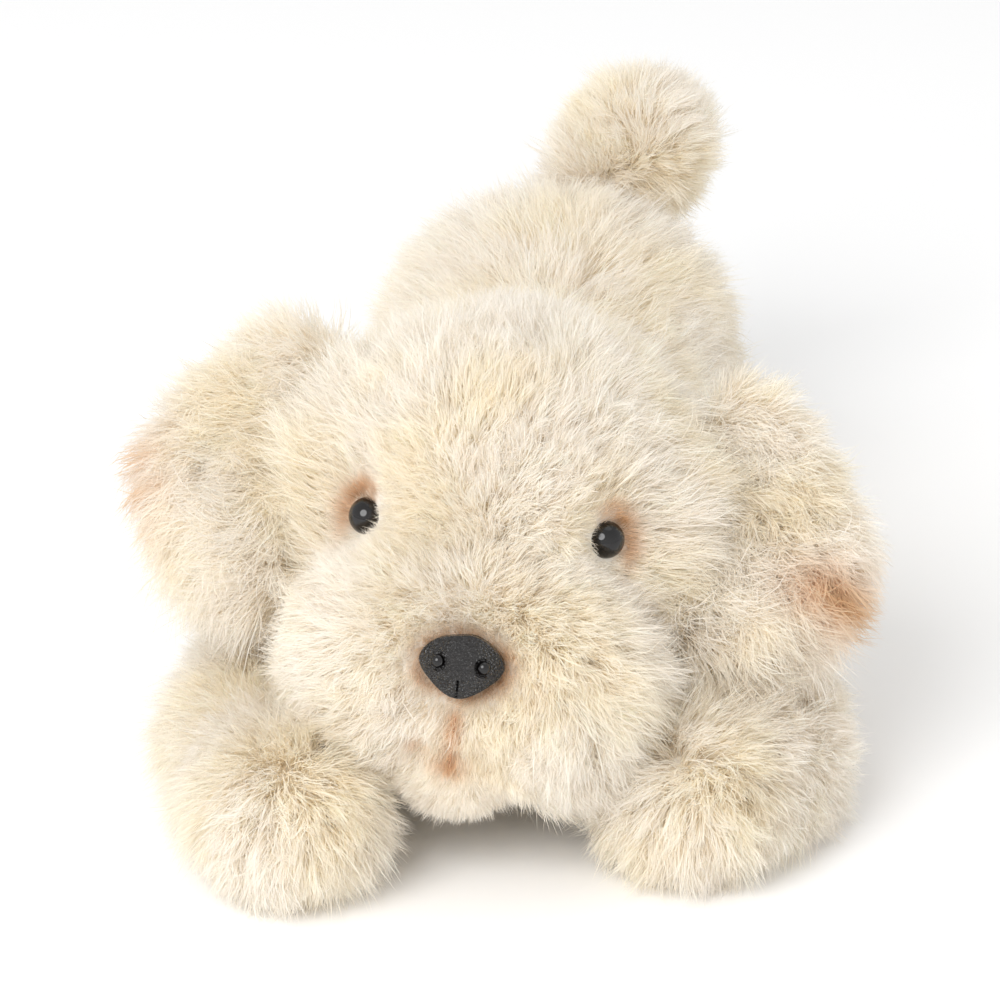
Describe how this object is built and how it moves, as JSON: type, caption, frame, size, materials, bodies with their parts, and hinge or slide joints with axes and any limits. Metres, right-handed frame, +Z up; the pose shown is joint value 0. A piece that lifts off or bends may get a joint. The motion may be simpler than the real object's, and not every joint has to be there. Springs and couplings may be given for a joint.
{
  "type": "plush dog",
  "caption": "Lying plush puppy with a long shaggy pile, floppy ears, a raised tail, weighted paws and moulded plastic eyes and nose.",
  "frame": {"origin": "on the flat of the belly, at its middle", "axes": "+X towards the dog's own left, +Y from the nose towards the tail, +Z up"},
  "size_m": [0.2308, 0.404, 0.1542],
  "materials": {
    "long_pile": "shaggy cream long-pile fur fabric",
    "short_pile": "cream short-pile plush",
    "stuffing": "white polyester fibre filling",
    "bean_bag": "white woven pouch of plastic pellets",
    "eye_plastic": "polished black",
    "nose_plastic": "pebbled charcoal",
    "washer_plastic": "plain white moulding",
    "mouth_thread": "brown thread"
  },
  "bodies": {
    "torso": {"torso_side_left": "long_pile", "torso_side_right": "long_pile", "belly_panel": "short_pile", "torso_stuffing": "stuffing", "belly_bean_bag": "bean_bag", "neck_gusset": "long_pile", "neck_stuffing": "stuffing"},
    "head": {"head_side_left": "long_pile", "head_side_right": "long_pile", "head_gusset": "long_pile", "chin_panel": "long_pile", "head_stuffing": "stuffing", "eye_left": "eye_plastic", "eye_right": "eye_plastic", "eye_washer_left": "washer_plastic", "eye_washer_right": "washer_plastic", "nose": "nose_plastic", "nose_washer": "washer_plastic", "mouth_thread": "mouth_thread"},
    "tail": {"tail_cover": "long_pile", "tail_stuffing": "stuffing"},
    "ear_left": {"ear_outer_left": "long_pile", "ear_lining_left": "short_pile"},
    "foreleg_left": {"foreleg_cover_left": "long_pile", "foreleg_sole_left": "short_pile", "foreleg_stuffing_left": "stuffing", "paw_bean_bag_left": "bean_bag"},
    "hind_leg_left": {"hind_leg_cover_left": "long_pile", "hind_leg_sole_left": "short_pile", "hind_leg_stuffing_left": "stuffing"},
    "ear_right": {"ear_outer_right": "long_pile", "ear_lining_right": "short_pile"},
    "foreleg_right": {"foreleg_cover_right": "long_pile", "foreleg_sole_right": "short_pile", "foreleg_stuffing_right": "stuffing", "paw_bean_bag_right": "bean_bag"},
    "hind_leg_right": {"hind_leg_cover_right": "long_pile", "hind_leg_sole_right": "short_pile", "hind_leg_stuffing_right": "stuffing"}
  },
  "joints": [
    {"name": "head_nod", "type": "hinge", "parent": "torso", "child": "head", "pos_m": [0, -0.13, 0.078], "axis": [-1, 0, 0], "range_deg": [0, 30], "deforming": ["neck_gusset", "neck_stuffing"]},
    {"name": "ear_left_flap", "type": "hinge", "parent": "head", "child": "ear_left", "pos_m": [0.06601, -0.14793, 0.09795], "axis": [-0.3197, -0.6682, -0.6718], "range_deg": [0, 30]},
    {"name": "foreleg_left_splay", "type": "hinge", "parent": "torso", "child": "foreleg_left", "pos_m": [0.06, -0.094, 0.034], "axis": [0, 0, 1], "range_deg": [0, 40]},
    {"name": "hind_leg_left_splay", "type": "hinge", "parent": "torso", "child": "hind_leg_left", "pos_m": [0.043, 0.077, 0.02], "axis": [0, 0, 1], "range_deg": [0, 40]},
    {"name": "ear_right_flap", "type": "hinge", "parent": "head", "child": "ear_right", "pos_m": [-0.06299, -0.15456, 0.11258], "axis": [-0.2882, 0.6237, 0.7265], "range_deg": [0, 30]},
    {"name": "foreleg_right_splay", "type": "hinge", "parent": "torso", "child": "foreleg_right", "pos_m": [-0.065, -0.094, 0.034], "axis": [0, 0, -1], "range_deg": [0, 40]},
    {"name": "hind_leg_right_splay", "type": "hinge", "parent": "torso", "child": "hind_leg_right", "pos_m": [-0.071, 0.077, 0.02], "axis": [0, 0, -1], "range_deg": [0, 40]},
    {"name": "tail_wag", "type": "hinge", "parent": "torso", "child": "tail", "pos_m": [-0.004, 0.097, 0.117], "axis": [0, 1, 0], "range_deg": [-30, 30], "stiffness_Nm_per_rad": 0.05}
  ]
}
